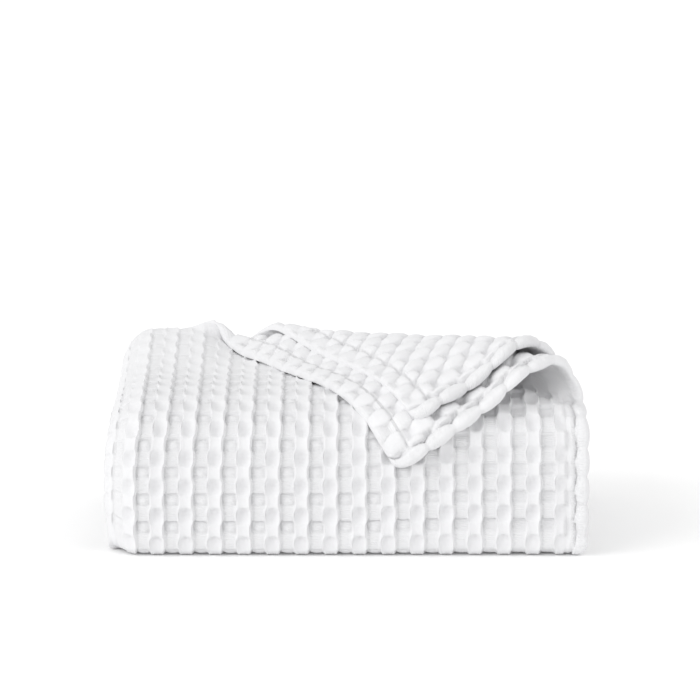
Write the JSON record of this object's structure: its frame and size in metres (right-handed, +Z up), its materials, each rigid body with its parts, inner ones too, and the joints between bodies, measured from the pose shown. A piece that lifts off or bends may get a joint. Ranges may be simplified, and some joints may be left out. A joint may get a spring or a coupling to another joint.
{
  "type": "folded throw blanket",
  "caption": "White waffle-weave cotton throw, folded back and forth into a pile, with the top back corner of its two upper layers turned over to the front.",
  "frame": {"origin": "middle of the bounding box, on the level that the pile rests on", "axes": "+X along the front of the pile to the right, +Y from the front to the back, +Z up"},
  "size_m": [0.4218, 0.2952, 0.1836],
  "materials": {
    "white_cotton": "matt, puffed waffle weave"
  },
  "bodies": {
    "root": {"blanket": "white_cotton"}
  },
  "joints": []
}
